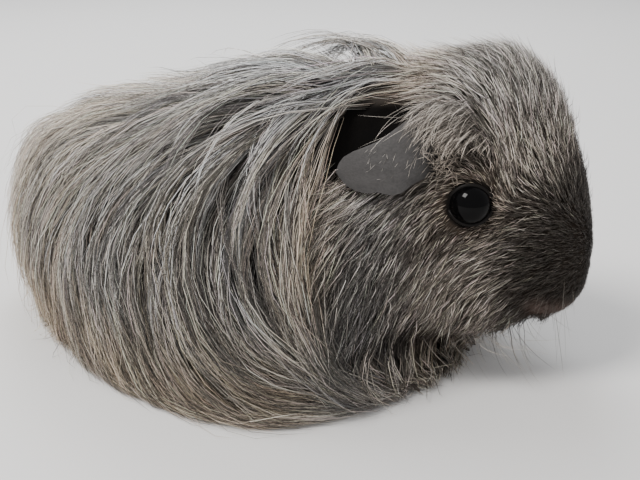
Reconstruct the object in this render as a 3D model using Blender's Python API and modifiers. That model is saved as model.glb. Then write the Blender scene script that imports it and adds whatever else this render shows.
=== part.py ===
"""A long-haired guinea pig at rest, life size: the outline of its coat, parted into the pieces of the body.

+X is forward, +Y is the animal's left and +Z is up, in metres. The floor is z = 0.
The body is shaped whole from two lofts, the trunk and the head, and is then parted with thin cuts.
"""

import math

import bmesh
import bpy
import numpy as np
from mathutils import Matrix, Vector

# ---------------------------------------------------------------- driving dimensions

GAP = 0.0003  # clearance between neighbouring pieces
SLIVER = 0.00002  # edges shorter than this are closed up

# Cross-sections of the coat round the trunk, from the rump to the chest:
# (x, half width, height of the top, height of the widest line, how far the round goes below)
TRUNK_SECTIONS = (
    (-0.0895, 0.000, 0.032, 0.030, 0.028),  # tip of the rump
    (-0.0855, 0.017, 0.045, 0.029, 0.010),  # back of the rump
    (-0.0750, 0.031, 0.055, 0.028, -0.002),  # rump
    (-0.0585, 0.043, 0.0625, 0.027, -0.016),  # hips
    (-0.0380, 0.053, 0.0675, 0.026, -0.034),  # loin
    (-0.0140, 0.060, 0.0745, 0.024, -0.056),  # ribs
    (0.0060, 0.0625, 0.0845, 0.022, -0.066),  # behind the shoulders
    (0.0240, 0.0625, 0.0895, 0.020, -0.066),  # withers, under the mane
    (0.0400, 0.0575, 0.0850, 0.020, -0.050),  # shoulders
    (0.0540, 0.0440, 0.0680, 0.022, -0.026),  # front of the shoulders
    (0.0630, 0.0250, 0.0440, 0.021, -0.002),  # chest
    (0.0670, 0.000, 0.024, 0.022, 0.020),  # tip of the chest
)
TRUNK_ROUNDNESS = 2.2  # exponent of the superellipse, 2 being a true ellipse

HEAD_PIVOT = Vector((0.036, 0.0, 0.0))  # below the back of the skull
HEAD_TURN = math.radians(20)  # to the animal's left

# Cross-sections of the coat round the head, in the head's own frame, from the nape to the nose
HEAD_SECTIONS = (
    (-0.014, 0.000, 0.056, 0.052, 0.048),  # back of the skull
    (-0.010, 0.019, 0.074, 0.050, 0.026),  # nape
    (0.000, 0.029, 0.084, 0.045, 0.012),  # behind the ears
    (0.014, 0.032, 0.088, 0.040, 0.005),  # ears
    (0.028, 0.0305, 0.090, 0.037, 0.0045),  # cheeks and eyes
    (0.038, 0.0270, 0.0915, 0.036, 0.007),  # crown
    (0.047, 0.0230, 0.0855, 0.035, 0.0105),  # brow
    (0.055, 0.0190, 0.0735, 0.034, 0.0145),  # bridge of the nose
    (0.0595, 0.0155, 0.062, 0.033, 0.0195),  # muzzle
    (0.0620, 0.0115, 0.052, 0.033, 0.0240),  # nose
    (0.0635, 0.000, 0.036, 0.034, 0.032),  # tip of the nose
)
HEAD_ROUNDNESS = 2.25
HEAD_MARGIN = 0.0025  # how far the head's share of the coat reaches past its own loft
THROAT_RUN = 0.038  # where the cut under the throat meets the floor, in the head's frame
THROAT_SLANT = math.radians(38)

NOSE_PAD = (0.0635, 0.0, 0.0330), (0.0045, 0.0066, 0.0062)  # centre and radii of the bare nose's reach
LOWER_JAW = (0.0440, 0.0, 0.0080), (0.0170, 0.0150, 0.0095)
NAPE = (0.036, 0.004, 0.060), (0.030, 0.036, 0.031)  # the coat between withers and crown, in the body's frame
NECK_START = 0.020  # where the cut between trunk and neck meets the floor
NECK_LEAN = math.radians(-14)

EYE_CENTRE = Vector((0.031, 0.0253, 0.0536))  # in the head's frame, on the left
EYE_RADIUS = 0.0055
EYE_DISH = (0.0068, (0.0095, 0.0048, 0.0085))  # how far out from the eye it is centred, and its radii

EAR_ROOT = Vector((0.0245, 0.0255, 0.0640))  # in the head's frame, on the left
EAR_LENGTH = 0.0285
EAR_RISE = 0.0150  # how far the blade stands above its own axis at the root
EAR_HANG = 0.0064  # how far it hangs below it
EAR_NOTCH = 0.0006  # depth of the notch between the two lobes of the lower edge
EAR_THICKNESS = 0.0009
EAR_FLARE = math.radians(14)  # away from the head
EAR_DROOP = math.radians(4)  # below level
EAR_RECESS = Vector((-0.0150, 0.0050, 0.0060)), (0.0180, 0.0085, 0.0140)  # centre from the root, and radii

# The left limbs. All places but the middle and the shoulder are measured from the middle of the foot.
LIMBS = {
    "front": {
        "middle": Vector((0.0530, 0.0125, 0.0)),  # of the palm
        "heel": (Vector((-0.0065, 0.0, 0.0040)), 0.0046),  # centre and radius
        "ball": (Vector((0.0030, 0.0, 0.0034)), 0.0048),
        "ankle": (Vector((-0.0085, 0.0010, 0.0110)), 0.0042),
        "room": (Vector((0.0030, 0.0, 0.0)), (0.0170, 0.0110, 0.0095)),  # in the coat, round the foot
        "toes": 4,
        "knuckle": Vector((0.0030, 0.0, 0.0032)),
        "spread": 0.0031,  # between neighbouring toes
        "toe_run": Vector((0.0053, 0.0009, -0.0014)),  # knuckle to tip, y being the fan of one toe
        "toe_radius": 0.0017,
        "longest_toe": 1.4,  # its place in the row
        "toe_lead": 0.0012,  # how far the longest toe leads
        "claw": 0.0030,
        "shoulder": (Vector((0.045, 0.028, 0.022)), (0.016, 0.020, 0.026), math.radians(12)),
    },
    "hind": {
        "middle": Vector((-0.026, 0.030, 0.0)),  # of the sole
        "heel": (Vector((-0.0160, -0.0006, 0.0042)), 0.0046),
        "ball": (Vector((0.0100, 0.0, 0.0036)), 0.0062),
        "ankle": (Vector((-0.0155, 0.0, 0.0120)), 0.0048),
        "room": (Vector((0.0020, 0.0, 0.0)), (0.0300, 0.0125, 0.0110)),
        "toes": 3,
        "knuckle": Vector((0.0110, 0.0, 0.0036)),
        "spread": 0.0040,
        "toe_run": Vector((0.0069, 0.0008, -0.0012)),
        "toe_radius": 0.0021,
        "longest_toe": 1.0,
        "toe_lead": 0.0022,
        "claw": 0.0040,
        "shoulder": (Vector((-0.036, 0.040, 0.026)), (0.031, 0.023, 0.030), math.radians(-10)),
    },
}
SHANK_ROOM = 0.0020  # between the shank and the coat
CLAW_TAPER = (0.42, 0.34, 0.19)  # radii at root, middle and point, in radii of the toe

BELLY_RISE = 0.0035  # height of the hollow between the belly and the floor
BELLY_HOLLOW = (0.0815, 0.0580, 0.0100)  # radii of the ellipsoid that makes it
COAT_VOXEL = 0.0020  # grain at which the forms are melted together
COAT_SHARE = 0.033  # share of that grain's faces that is kept
FOOT_SHARE = 0.38
FLAT = math.radians(2.5)  # neighbouring faces closer than this in slope become one
FAR = 0.2  # beyond the animal on every side

FINISHES = {  # base colour, roughness, metallic
    "coat": ((0.16, 0.15, 0.14), 0.70, 0.0),
    "nose_skin": ((0.03, 0.027, 0.027), 0.55, 0.0),
    "ear_skin": ((0.05, 0.047, 0.047), 0.60, 0.0),
    "foot_skin": ((0.035, 0.031, 0.03), 0.65, 0.0),
    "claw_horn": ((0.06, 0.05, 0.045), 0.40, 0.0),
    "eye_gloss": ((0.004, 0.004, 0.004), 0.05, 0.0),
}
SIDES = {"left": 1, "right": -1}

# ---------------------------------------------------------------- making and joining solids

for old in list(bpy.data.objects):
    bpy.data.objects.remove(old)
animal = bpy.data.collections.new("guinea_pig")
bpy.context.scene.collection.children.link(animal)


def solid(name, bm):
    """A new object of the animal from a bmesh, with its faces turned outward."""
    bmesh.ops.recalc_face_normals(bm, faces=bm.faces)
    mesh = bpy.data.meshes.new(name)
    bm.to_mesh(mesh)
    bm.free()
    obj = bpy.data.objects.new(name, mesh)
    animal.objects.link(obj)
    return obj


def copied(obj, name):
    """An independent copy of a solid."""
    twin = obj.copy()
    twin.data = obj.data.copy()
    twin.name = name
    animal.objects.link(twin)
    return twin


def apply_modifier(obj, kind, **settings):
    """Puts a modifier on a solid and applies it."""
    modifier = obj.modifiers.new(kind.lower(), kind)
    for setting, value in settings.items():
        setattr(modifier, setting, value)
    bpy.context.view_layer.objects.active = obj
    bpy.ops.object.modifier_apply(modifier=modifier.name)


def combine(obj, operation, *tools):
    """Joins, cuts or trims a solid with others, which are then removed."""
    for tool in tools:
        apply_modifier(obj, "BOOLEAN", object=tool, operation=operation, solver="EXACT")
        bpy.data.objects.remove(tool)
    return obj


def keep_largest(obj):
    """Drops the crumbs that a cut leaves beside a solid, and the slivers that it leaves on it."""
    bm = bmesh.new()
    bm.from_mesh(obj.data)
    bmesh.ops.triangulate(bm, faces=bm.faces)
    bmesh.ops.dissolve_degenerate(bm, edges=bm.edges, dist=SLIVER)
    unseen = set(bm.verts)
    groups = []
    while unseen:
        front = [unseen.pop()]
        group = list(front)
        while front:
            for edge in front.pop().link_edges:
                for vert in edge.verts:
                    if vert in unseen:
                        unseen.remove(vert)
                        front.append(vert)
                        group.append(vert)
        groups.append(group)
    groups.sort(key=len)
    crumbs = [vert for group in groups[:-1] for vert in group]
    bmesh.ops.delete(bm, geom=crumbs, context="VERTS")
    bm.to_mesh(obj.data)
    bm.free()
    return obj


def thinned(obj):
    """One body, with its flattest neighbouring faces merged into fewer triangles."""
    keep_largest(obj)
    apply_modifier(obj, "DECIMATE", decimate_type="DISSOLVE", angle_limit=FLAT)
    keep_largest(obj)
    return obj


# ---------------------------------------------------------------- shapes


def smooth_sections(sections, count):
    """The sections again at count places, finer towards both ends, on smooth curves through all of them."""
    table = np.array(sections)
    place = table[:, 0]
    turn = np.linspace(0.0, math.pi, count)
    middle = (place[0] + place[-1]) / 2
    along = middle - np.cos(turn) * (place[-1] - place[0]) / 2
    slope = np.gradient(table, place, axis=0)
    before = np.clip(np.searchsorted(place, along, side="right") - 1, 0, len(place) - 2)
    step = (place[before + 1] - place[before])[:, None]
    part = ((along - place[before])[:, None]) / step
    return (
        (1 + 2 * part) * (1 - part) ** 2 * table[before]
        + part * (1 - part) ** 2 * step * slope[before]
        + part**2 * (3 - 2 * part) * table[before + 1]
        + part**2 * (part - 1) * step * slope[before + 1]
    )


def lofted(name, sections, roundness, grow=0.0, rings=13, sides=20):
    """A closed loft through superellipses like those of the tables above, made larger by grow."""
    bm = bmesh.new()
    loops = []
    stations = smooth_sections(sections, rings)
    for x, half_width, top, widest, bottom in stations[1:-1]:
        half_width = max(half_width, 0.001) + grow
        loop = []
        for step in range(sides):
            angle = 2 * math.pi * step / sides
            across = math.copysign(abs(math.cos(angle)) ** (2 / roundness), math.cos(angle))
            rise = math.copysign(abs(math.sin(angle)) ** (2 / roundness), math.sin(angle))
            reach = (top - widest if rise > 0 else widest - bottom) + grow
            loop.append(bm.verts.new((x, half_width * across, widest + reach * rise)))
        loops.append(loop)
    for loop, after in zip(loops, loops[1:]):
        for step in range(sides):
            ahead = (step + 1) % sides
            bm.faces.new((loop[step], loop[ahead], after[ahead], after[step]))
    for loop, station, outward in ((loops[0], stations[0], -grow), (loops[-1], stations[-1], grow)):
        pole = bm.verts.new((station[0] + outward, 0.0, station[3]))
        for step in range(sides):
            bm.faces.new((loop[step], loop[(step + 1) % sides], pole))
    return solid(name, bm)


def ellipsoid(name, centre, radii, turn=Matrix(), sides=14):
    """A closed ellipsoid."""
    bm = bmesh.new()
    bmesh.ops.create_uvsphere(bm, u_segments=sides, v_segments=sides // 2, radius=1.0)
    place = Matrix.Translation(centre) @ turn.to_4x4() @ Matrix.Diagonal((*radii, 1.0))
    bmesh.ops.transform(bm, matrix=place, verts=bm.verts)
    return solid(name, bm)


def slab(name, low, high):
    """A closed box between two corners."""
    bm = bmesh.new()
    bmesh.ops.create_cube(bm, size=1.0)
    low, high = Vector(low), Vector(high)
    place = Matrix.Translation((low + high) / 2) @ Matrix.Diagonal((*(high - low), 1.0))
    bmesh.ops.transform(bm, matrix=place, verts=bm.verts)
    return solid(name, bm)


def limb(name, points, radii, sides=12):
    """A closed tapering tube with rounded ends along a short run of points."""
    bm = bmesh.new()
    points = [Vector(point) for point in points]
    loops = []
    poles = []
    rounding = 0.7  # how far out along the rounded end its ring sits, in radii
    for index, (point, radius) in enumerate(zip(points, radii)):
        ahead = points[min(index + 1, len(points) - 1)]
        behind = points[max(index - 1, 0)]
        along = (ahead - behind).normalized()
        turn = along.to_track_quat("Z", "Y").to_matrix()
        first, last = index == 0, index == len(points) - 1
        offsets = [-rounding, 0.0] if first else [0.0]
        offsets += [rounding] if last else []
        for out in offsets:
            ring_radius = radius * math.sqrt(1 - out * out)
            centre = point + along * radius * out
            loop = []
            for step in range(sides):
                angle = 2 * math.pi * step / sides
                spoke = Vector((math.cos(angle), math.sin(angle), 0.0)) * ring_radius
                loop.append(bm.verts.new(centre + turn @ spoke))
            loops.append(loop)
        if first:
            poles.append((loops[0], bm.verts.new(point - along * radius)))
        if last:
            poles.append((loops[-1], bm.verts.new(point + along * radius)))
    for loop, after in zip(loops, loops[1:]):
        for step in range(sides):
            ahead = (step + 1) % sides
            bm.faces.new((loop[step], loop[ahead], after[ahead], after[step]))
    for loop, pole in poles:
        for step in range(sides):
            bm.faces.new((loop[step], loop[(step + 1) % sides], pole))
    return solid(name, bm)


HEAD_FRAME = Matrix.Translation(HEAD_PIVOT) @ Matrix.Rotation(HEAD_TURN, 4, "Z")


def to_head(obj):
    """Moves a solid made in the head's own frame to its place on the body."""
    obj.data.transform(HEAD_FRAME)
    return obj


def on_side(vector, side):
    """A place given for the left, on that side."""
    return Vector((vector[0], vector[1] * side, vector[2]))


# ---------------------------------------------------------------- the whole coat


def whole_body():
    """The coat's outline, from the rump to the nose, as one smooth solid that stands on the floor."""
    body = lofted("body", TRUNK_SECTIONS, TRUNK_ROUNDNESS, rings=34, sides=48)
    head = to_head(lofted("head_form", HEAD_SECTIONS, HEAD_ROUNDNESS, rings=34, sides=48))
    nape = ellipsoid("nape", *NAPE, sides=32)
    combine(body, "UNION", head, nape)
    apply_modifier(body, "REMESH", mode="VOXEL", voxel_size=COAT_VOXEL)
    apply_modifier(body, "SMOOTH", factor=0.5, iterations=6)
    below = slab("below", (-FAR, -FAR, -FAR), (FAR, FAR, 0.0))
    hollow = ellipsoid("hollow", (-0.012, 0.0, BELLY_RISE - BELLY_HOLLOW[2]), BELLY_HOLLOW, sides=40)
    combine(body, "DIFFERENCE", below, hollow)
    apply_modifier(body, "DECIMATE", ratio=COAT_SHARE)
    return keep_largest(body)


# ---------------------------------------------------------------- ears and eyes


def ear_edges(along):
    """How far an ear's upper and lower edges lie from its axis, at a share of its length from root to tip."""
    upper = EAR_RISE * (1 - along) ** 0.85
    lobes = EAR_NOTCH * math.cos(2 * math.pi * (along - 0.60) / 0.30) * math.sin(math.pi * along) ** 2
    lower = EAR_HANG * (1 - 0.65 * (1 - along) ** 3) * math.sqrt(1 - along**7) - lobes
    return upper, lower


def ear_blade(name, side, grow=0.0):
    """A bare, drooping petal: a thin curved blade with two shallow lobes on its lower edge."""
    bm = bmesh.new()
    rows, columns = 9, 4
    back = Matrix.Rotation(-EAR_FLARE, 3, "Z") @ Matrix.Rotation(-EAR_DROOP, 3, "Y") @ Vector((-1, 0, 0))
    upward = Vector((0.05, -0.22, 0.97)).normalized()
    outward = upward.cross(back).normalized()
    layers = []
    for face in (1, -1):
        grid = []
        for row in range(rows + 1):
            along = 0.985 * (1 - (1 - row / rows) ** 1.25)
            upper, lower = ear_edges(along)
            line = []
            for column in range(columns + 1):
                across = column / columns
                height = (upper + grow) * across - (lower + grow) * (1 - across)
                cup = 0.0030 * (2 * across - 1) ** 2 * (1 - along) - 0.0018 * math.sin(math.pi * along)
                ripple = 0.0004 * math.sin(5 * across + 4 * along) * along
                half = EAR_THICKNESS / 2 + grow
                place = EAR_ROOT + back * (EAR_LENGTH + grow) * along + upward * height
                place += outward * (cup + ripple + face * half)
                line.append(bm.verts.new(on_side(place, side)))
            grid.append(line)
        layers.append(grid)
    front, rear = layers
    for row in range(rows):
        for column in range(columns):
            for grid in layers:
                line, after = grid[row], grid[row + 1]
                bm.faces.new((line[column], line[column + 1], after[column + 1], after[column]))
        for edge in (0, columns):
            bm.faces.new((front[row][edge], front[row + 1][edge], rear[row + 1][edge], rear[row][edge]))
    for edge in (0, rows):
        line, after = front[edge], rear[edge]
        for column in range(columns):
            bm.faces.new((line[column], line[column + 1], after[column + 1], after[column]))
    return to_head(solid(name, bm))


def ear_recess(name, side):
    """The hollow round an ear, where the head's coat stops short and the mane stands behind."""
    offset, radii = EAR_RECESS
    turn = Matrix.Rotation(-EAR_FLARE * side, 3, "Z")
    return to_head(ellipsoid(name, on_side(EAR_ROOT + offset, side), radii, turn, sides=16))


def eye_ball(name, side, grow=0.0):
    """A glossy eye, set into the side of the head."""
    radius = EYE_RADIUS + grow
    return to_head(ellipsoid(name, on_side(EYE_CENTRE, side), (radius, radius, radius)))


def eye_dish(name, side):
    """The shallow dish in the coat round an eye, where the hair is shortest."""
    outward, radii = EYE_DISH
    return to_head(ellipsoid(name, on_side(EYE_CENTRE + Vector((0.0, outward, 0.0)), side), radii))


# ---------------------------------------------------------------- legs, feet and claws


def leg_region(name, end, side, grow=0.0):
    """The shoulder with its upper arm, or the haunch: the part of the coat's form that belongs to the leg."""
    centre, radii, lean = LIMBS[end]["shoulder"]
    grown = [radius + grow for radius in radii]
    return ellipsoid(name, on_side(centre, side), grown, Matrix.Rotation(lean, 3, "Y"), sides=16)


def foot_place(end, side, offset):
    """A place on a foot, given from the middle of the left one."""
    return on_side(LIMBS[end]["middle"] + offset, side)


def toe_line(end, side, toe):
    """The knuckle of one toe and its tip, where the claw begins."""
    limb_sizes = LIMBS[end]
    fan = toe - (limb_sizes["toes"] - 1) / 2  # outer toes have higher numbers
    lead = limb_sizes["toe_lead"] * (1 - abs(toe - limb_sizes["longest_toe"]) / 1.6)
    knuckle = limb_sizes["knuckle"] + Vector((lead, fan * limb_sizes["spread"], 0.0))
    run = limb_sizes["toe_run"]
    tip = knuckle + Vector((run.x, fan * run.y, run.z))
    return foot_place(end, side, knuckle), foot_place(end, side, tip)


def foot_form(name, end, side):
    """A flat-soled foot with its toes: the short palm of the front foot, or the long sole of the hind one."""
    (heel, heel_radius), (ball, ball_radius), (ankle, ankle_radius) = (
        LIMBS[end][part] for part in ("heel", "ball", "ankle")
    )
    heel, ball, ankle = (foot_place(end, side, place) for place in (heel, ball, ankle))
    foot = limb(name, (heel, ball), (heel_radius, ball_radius), sides=9)
    combine(foot, "UNION", limb("shank", (heel, ankle), (heel_radius, ankle_radius), sides=9))
    radius = LIMBS[end]["toe_radius"]
    for toe in range(LIMBS[end]["toes"]):
        knuckle, tip = toe_line(end, side, toe)
        root = knuckle - (tip - knuckle) * 0.6
        digit = limb("digit", (root, knuckle, tip), (radius, radius * 1.05, radius), sides=7)
        combine(foot, "UNION", digit)
    combine(foot, "DIFFERENCE", slab("below", (-FAR, -FAR, -FAR), (FAR, FAR, 0.0)))
    apply_modifier(foot, "DECIMATE", ratio=FOOT_SHARE)
    return foot


def foot_room(name, end, side):
    """The space in the coat's underside in which a foot stands, open in front of the front foot."""
    middle, radii = LIMBS[end]["room"]
    room = ellipsoid(name, foot_place(end, side, middle), radii)
    ankle, radius = LIMBS[end]["ankle"]
    ankle = foot_place(end, side, ankle)
    low = ankle - Vector((0.0, 0.0, 0.0080))
    shaft = limb("shaft", (low, ankle), (radius + SHANK_ROOM, radius + SHANK_ROOM), sides=12)
    return combine(room, "UNION", shaft)


def claw_form(name, end, side, toe, grow=0.0):
    """A short, blunt, slightly hooked claw that leaves the end of a toe."""
    knuckle, tip = toe_line(end, side, toe)
    forward = (tip - knuckle).normalized()
    length, thick = LIMBS[end]["claw"], LIMBS[end]["toe_radius"]
    root = tip + forward * thick * 0.35 + Vector((0.0, 0.0, 0.0004))
    middle = root + forward * length * 0.55
    point = root + forward * length
    middle.z = max(middle.z, 0.0013)
    point.z = max(point.z, 0.0007)
    return limb(name, (root, middle, point), [thick * share + grow for share in CLAW_TAPER], sides=5)


# ---------------------------------------------------------------- parting the body


def head_reach(name, grow=0.0):
    """The part of the whole form that belongs to the head: its loft, down to a slant from throat to chin."""
    reach = lofted(name, HEAD_SECTIONS, HEAD_ROUNDNESS, grow=HEAD_MARGIN + grow)
    throat = slab("throat", (-FAR, -FAR, -FAR), (FAR, FAR, -grow))
    slant = Matrix.Translation((THROAT_RUN, 0.0, 0.0)) @ Matrix.Rotation(THROAT_SLANT, 4, "Y")
    throat.data.transform(slant)
    return to_head(combine(reach, "DIFFERENCE", throat))


def build_head(body):
    """Head, nose pad and lower jaw, with sockets for the eyes and slots for the ears."""
    head = combine(copied(body, "head"), "INTERSECT", head_reach("head_reach"))
    for side in SIDES.values():
        combine(head, "DIFFERENCE", foot_room("foot_room", "front", side))
        combine(head, "DIFFERENCE", ear_recess("recess", side))
        combine(head, "DIFFERENCE", ear_blade("slot", side, GAP))
        combine(head, "DIFFERENCE", eye_dish("dish", side), eye_ball("socket", side, GAP))
    nose = combine(copied(head, "nose"), "INTERSECT", to_head(ellipsoid("nose_reach", *NOSE_PAD)))
    jaw = combine(copied(head, "lower_jaw"), "INTERSECT", to_head(ellipsoid("jaw_reach", *LOWER_JAW)))
    for centre, radii in (NOSE_PAD, LOWER_JAW):
        room = [radius + GAP for radius in radii]
        combine(head, "DIFFERENCE", to_head(ellipsoid("room", centre, room)))
    return [thinned(piece) for piece in (head, nose, jaw)]


def build_rest(body):
    """Neck with its mane and ruff, trunk and the upper legs, out of what the head leaves."""
    combine(body, "DIFFERENCE", head_reach("head_room", GAP))
    for side in SIDES.values():
        combine(body, "DIFFERENCE", ear_recess("recess", side))
        combine(body, "DIFFERENCE", ear_blade("slot", side, GAP))
        for end in LIMBS:
            combine(body, "DIFFERENCE", foot_room("foot_room", end, side))
    legs = []
    for label, side in SIDES.items():
        for end in LIMBS:
            leg = copied(body, f"{end}_leg_{label}")
            legs.append(combine(leg, "INTERSECT", leg_region("region", end, side)))
    for side in SIDES.values():
        for end in LIMBS:
            combine(body, "DIFFERENCE", leg_region("region_room", end, side, GAP))
    lean = Matrix.Translation((NECK_START, 0.0, 0.0)) @ Matrix.Rotation(NECK_LEAN, 4, "Y")
    ahead = slab("ahead", (GAP / 2, -FAR, -FAR), (FAR, FAR, FAR))
    ahead.data.transform(lean)
    behind = slab("behind", (-FAR, -FAR, -FAR), (-GAP / 2, FAR, FAR))
    behind.data.transform(lean)
    neck = combine(copied(body, "neck"), "INTERSECT", ahead)
    body.name = "trunk"
    trunk = combine(body, "INTERSECT", behind)
    return [thinned(piece) for piece in (neck, trunk, *legs)]


def finish(obj, finish_name):
    """Gives a piece its own material."""
    colour, roughness, metallic = FINISHES[finish_name]
    material = bpy.data.materials.new(f"{obj.name}_{finish_name}")
    material.use_nodes = True
    shader = material.node_tree.nodes["Principled BSDF"]
    shader.inputs["Base Color"].default_value = (*colour, 1.0)
    shader.inputs["Roughness"].default_value = roughness
    shader.inputs["Metallic"].default_value = metallic
    obj.data.materials.clear()
    obj.data.materials.append(material)


def build():
    """The whole animal, centred over the origin."""
    body = whole_body()
    head, nose, jaw = build_head(body)
    pieces = [(head, "coat"), (nose, "nose_skin"), (jaw, "coat")]
    pieces += [(piece, "coat") for piece in build_rest(body)]
    for label, side in SIDES.items():
        pieces.append((ear_blade(f"ear_{label}", side), "ear_skin"))
        pieces.append((eye_ball(f"eye_{label}", side), "eye_gloss"))
        for end in LIMBS:
            foot = foot_form(f"{end}_foot_{label}", end, side)
            for toe in range(LIMBS[end]["toes"]):
                combine(foot, "DIFFERENCE", claw_form("claw_room", end, side, toe, GAP))
                claw = claw_form(f"{end}_claw_{label}_{toe + 1}", end, side, toe)
                pieces.append((claw, "claw_horn"))
            pieces.append((keep_largest(foot), "foot_skin"))
    corners = np.array([vert.co for piece, _ in pieces for vert in piece.data.vertices])
    middle = (corners.min(axis=0) + corners.max(axis=0)) / 2
    for piece, finish_name in pieces:
        piece.data.transform(Matrix.Translation((-middle[0], -middle[1], 0.0)))
        finish(piece, finish_name)


build()
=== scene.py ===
"""The looks of a life-size, long-haired guinea pig: skin, eyes, ears, feet and a coat of modelled hair."""

import math

import bmesh
import bpy
import numpy as np
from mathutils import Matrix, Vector
from mathutils.bvhtree import BVHTree
from mathutils.kdtree import KDTree


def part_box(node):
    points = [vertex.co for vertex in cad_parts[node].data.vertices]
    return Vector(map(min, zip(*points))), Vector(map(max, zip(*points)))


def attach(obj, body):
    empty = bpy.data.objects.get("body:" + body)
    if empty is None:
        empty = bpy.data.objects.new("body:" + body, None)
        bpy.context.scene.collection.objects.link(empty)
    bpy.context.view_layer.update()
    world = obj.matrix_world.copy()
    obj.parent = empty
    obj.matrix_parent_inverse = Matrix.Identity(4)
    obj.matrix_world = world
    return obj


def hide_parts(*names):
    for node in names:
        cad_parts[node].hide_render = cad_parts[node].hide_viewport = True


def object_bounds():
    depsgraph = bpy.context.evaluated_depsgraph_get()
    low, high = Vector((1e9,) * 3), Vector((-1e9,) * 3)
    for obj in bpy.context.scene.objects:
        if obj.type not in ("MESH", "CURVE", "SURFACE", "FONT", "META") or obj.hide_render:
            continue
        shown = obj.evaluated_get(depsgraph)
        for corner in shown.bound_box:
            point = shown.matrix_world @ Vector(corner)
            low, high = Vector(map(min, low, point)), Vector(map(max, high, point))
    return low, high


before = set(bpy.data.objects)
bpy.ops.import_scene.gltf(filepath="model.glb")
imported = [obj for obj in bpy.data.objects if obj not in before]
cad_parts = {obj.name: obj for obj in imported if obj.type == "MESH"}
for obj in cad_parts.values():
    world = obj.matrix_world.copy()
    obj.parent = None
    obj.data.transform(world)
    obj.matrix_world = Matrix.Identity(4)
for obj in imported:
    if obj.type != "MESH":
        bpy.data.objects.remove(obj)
outline_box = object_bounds()
bpy.ops.object.select_all(action="DESELECT")

# ---------------------------------------------------------------- the form that everything grows on
# In the animal hair, skin and flesh make one soft form over the bones, and the nodes of flesh give its
# outline. Melted into one closed mesh they guide the long hair, and sunk inward by the depth of the
# coat they become the skin.

SIDES = (("left", 1), ("right", -1))
FLESH = ["head", "lower_jaw", "nose", "neck", "trunk"]
FLESH += [f"{end}_leg_{side}" for end in ("front", "hind") for side, _ in SIDES]
FEET = [f"{end}_foot_{side}" for end in ("front", "hind") for side, _ in SIDES]
EYES = ["eye_left", "eye_right"]
UP = np.array([0.0, 0.0, 1.0])
OUTLINE_GRAIN = 0.0012
WELD = 0.00001  # corners this near each other become one
BELLY_MIDDLE = (-0.012, 0.0, 0.0)  # of the body that fills the hollow between the legs
BELLY_RADII = (0.074, 0.052, 0.014)
PAW_RADII = (0.013, 0.011, 0.014)  # of the bodies that fill the hollows over the front feet
BRIDGE_ROUNDS = 500


def middle_of(node):
    """The middle of a CAD node's box."""
    low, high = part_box(node)
    return (np.array(low) + np.array(high)) / 2


def unit(vectors):
    """Vectors at length one."""
    return vectors / np.maximum(np.linalg.norm(vectors, axis=-1, keepdims=True), 1e-12)


def ramp(values, start, end):
    """0 up to start, 1 from end, and a smooth rise between them."""
    part = np.clip((values - start) / (end - start), 0.0, 1.0)
    return part * part * (3 - 2 * part)


def fade(values, start, end):
    """1 up to start, 0 from end, and a smooth fall between them."""
    return 1 - ramp(values, start, end)


def hill(values, middle, width):
    """1 at the middle, falling off evenly to both sides."""
    return np.exp(-(((values - middle) / width) ** 2))


# The head's own frame: the point between the eyes, and axes to the nose, to the left and up.
between_eyes = (middle_of("eye_left") + middle_of("eye_right")) / 2
to_left = unit(middle_of("eye_left") - middle_of("eye_right"))
to_nose = np.cross(to_left, UP)
HEAD_AXES = np.array([to_nose, to_left, UP])


def in_head(points):
    """Places in the head's own frame."""
    return (points - between_eyes) @ HEAD_AXES.T


def from_head(points):
    """Places in the head's own frame, put back on the body."""
    return np.asarray(points) @ HEAD_AXES + between_eyes


def add_modifier(obj, kind, **settings):
    """Puts a modifier on a piece and applies it."""
    modifier = obj.modifiers.new(kind.lower(), kind)
    for setting, value in settings.items():
        setattr(modifier, setting, value)
    bpy.context.view_layer.objects.active = obj
    bpy.ops.object.modifier_apply(modifier=modifier.name)


def copies(nodes):
    """Loose copies of CAD nodes, selected, with their places kept."""
    bpy.ops.object.select_all(action="DESELECT")
    for node in nodes:
        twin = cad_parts[node].copy()
        twin.data = twin.data.copy()
        bpy.context.scene.collection.objects.link(twin)
        placed = twin.matrix_world.copy()
        twin.parent = None
        twin.matrix_world = placed
        twin.select_set(True)
        bpy.context.view_layer.objects.active = twin


def rounded(centre, radii):
    """An ellipsoid that fills a hollow of the form."""
    bpy.ops.mesh.primitive_uv_sphere_add(segments=32, ring_count=16, location=centre, scale=radii)
    return bpy.context.object


def named(name):
    """The piece that was added last, under its own name."""
    obj = bpy.context.object
    obj.name = obj.data.name = name
    return obj


def edit_all(tool, **settings):
    """Runs a tool of edit mode on the whole of the active piece."""
    bpy.ops.object.mode_set(mode="EDIT")
    bpy.ops.mesh.select_all(action="SELECT")
    tool(**settings)
    bpy.ops.object.mode_set(mode="OBJECT")


def melted(name, pieces, grain):
    """Pieces welded, joined and melted into one closed mesh."""
    bpy.ops.object.select_all(action="DESELECT")
    for piece in pieces:
        piece.select_set(True)
    bpy.context.view_layer.objects.active = pieces[0]
    bpy.ops.object.join()
    bpy.ops.object.transform_apply(location=True, rotation=True, scale=True)
    obj = named(name)
    edit_all(bpy.ops.mesh.remove_doubles, threshold=WELD)
    add_modifier(obj, "REMESH", mode="VOXEL", voxel_size=grain)
    return obj


def places(mesh, kind="co"):
    """The vertices of a mesh as rows of numbers: their places, or another kind of vector they have."""
    found = np.empty(len(mesh.vertices) * 3)
    mesh.vertices.foreach_get(kind, found)
    return found.reshape(-1, 3)


def directions(mesh):
    """The outward directions of a mesh's vertices as rows of numbers."""
    return places(mesh, "normal")


def move_to(mesh, points):
    """Puts the vertices of a mesh at new places."""
    mesh.vertices.foreach_set("co", points.ravel())
    mesh.update()


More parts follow.
